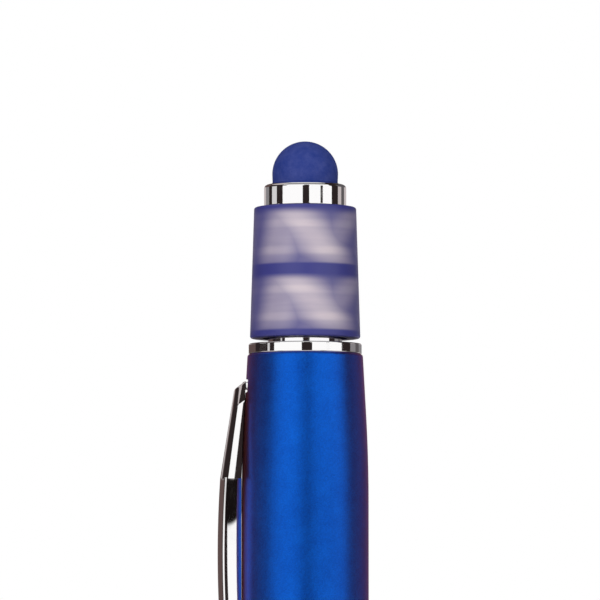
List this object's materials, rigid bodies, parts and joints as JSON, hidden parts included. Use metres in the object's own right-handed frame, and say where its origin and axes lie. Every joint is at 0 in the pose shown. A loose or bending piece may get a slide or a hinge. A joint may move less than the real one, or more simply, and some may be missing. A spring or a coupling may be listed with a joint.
{
  "type": "fidget spinner pen",
  "caption": "Twist ballpoint pen with a sprung pocket clip, a free-spinning sleeve on ball bearings near its top and a soft domed touch stylus at the end.",
  "frame": {"origin": "on the pen's axis, at the middle of the lower barrel's straight stretch, where a pen loop holds it", "axes": "+Z along the pen towards the stylus, -X towards the clip"},
  "size_m": [0.0144, 0.0122, 0.1416],
  "materials": {
    "barrel_lacquer": "satin metallic blue lacquer",
    "sleeve_plastic": "satin blue plastic with white marks",
    "stylus_rubber": "matte blue rubber",
    "chrome": "bright chrome plating",
    "steel": "bright steel",
    "refill_metal": "plain drawn metal",
    "brass": "turned brass",
    "grey_plastic": "moulded",
    "pale_plastic": "moulded"
  },
  "bodies": {
    "lower": {"lower_barrel": "barrel_lacquer", "centre_ring": "chrome", "nose_cone": "chrome", "mechanism_tube": "grey_plastic", "retaining_ring": "steel", "return_spring": "steel"},
    "upper": {"upper_barrel": "barrel_lacquer", "guide_bush": "pale_plastic", "twist_cam": "pale_plastic", "top_plug": "grey_plastic", "neck_ring": "chrome", "spindle": "steel", "bearing_spacer": "steel", "lower_inner_ring": "steel", "upper_inner_ring": "steel", "stylus_collar": "chrome", "stylus_tip": "stylus_rubber"},
    "spinner": {"spinner_sleeve": "sleeve_plastic", "lower_outer_ring": "steel", "upper_outer_ring": "steel"},
    "lower_ball_set": {"lower_balls": "steel", "lower_cage": "brass"},
    "upper_ball_set": {"upper_balls": "steel", "upper_cage": "brass"},
    "clip": {"clip": "chrome"},
    "refill": {"refill_tube": "refill_metal", "refill_plug": "pale_plastic", "refill_tip": "brass", "writing_ball": "steel", "cam_follower": "pale_plastic"}
  },
  "joints": [
    {"name": "barrel_twist", "type": "hinge", "parent": "lower", "child": "upper", "pos_m": [0, 0, 0.014], "axis": [0, 0, -1], "range_deg": [0, 120]},
    {"name": "refill_slide", "type": "slide", "parent": "lower", "child": "refill", "axis": [0, 0, -1], "range_m": [0, 0.005], "stiffness_N_per_m": 150, "springref_m": -0.004, "deforming": ["return_spring"]},
    {"name": "spinner_spin", "type": "hinge", "parent": "upper", "child": "spinner", "pos_m": [0, 0, 0.073], "axis": [0, 0, 1], "continuous": true},
    {"name": "lower_cage_spin", "type": "hinge", "parent": "upper", "child": "lower_ball_set", "pos_m": [0, 0, 0.06935], "axis": [0, 0, 1], "continuous": true},
    {"name": "upper_cage_spin", "type": "hinge", "parent": "upper", "child": "upper_ball_set", "pos_m": [0, 0, 0.0775], "axis": [0, 0, 1], "continuous": true},
    {"name": "clip_flex", "type": "hinge", "parent": "upper", "child": "clip", "pos_m": [-0.0054, 0, 0.06242], "axis": [0, 1, 0], "range_deg": [0, 4], "stiffness_Nm_per_rad": 1.5}
  ],
  "couplings": [
    {"joint": "barrel_twist", "follows": "refill_slide", "rad_per_m": 418.87},
    {"joint": "lower_cage_spin", "follows": "spinner_spin", "ratio": 0.63636},
    {"joint": "upper_cage_spin", "follows": "spinner_spin", "ratio": 0.63636}
  ]
}
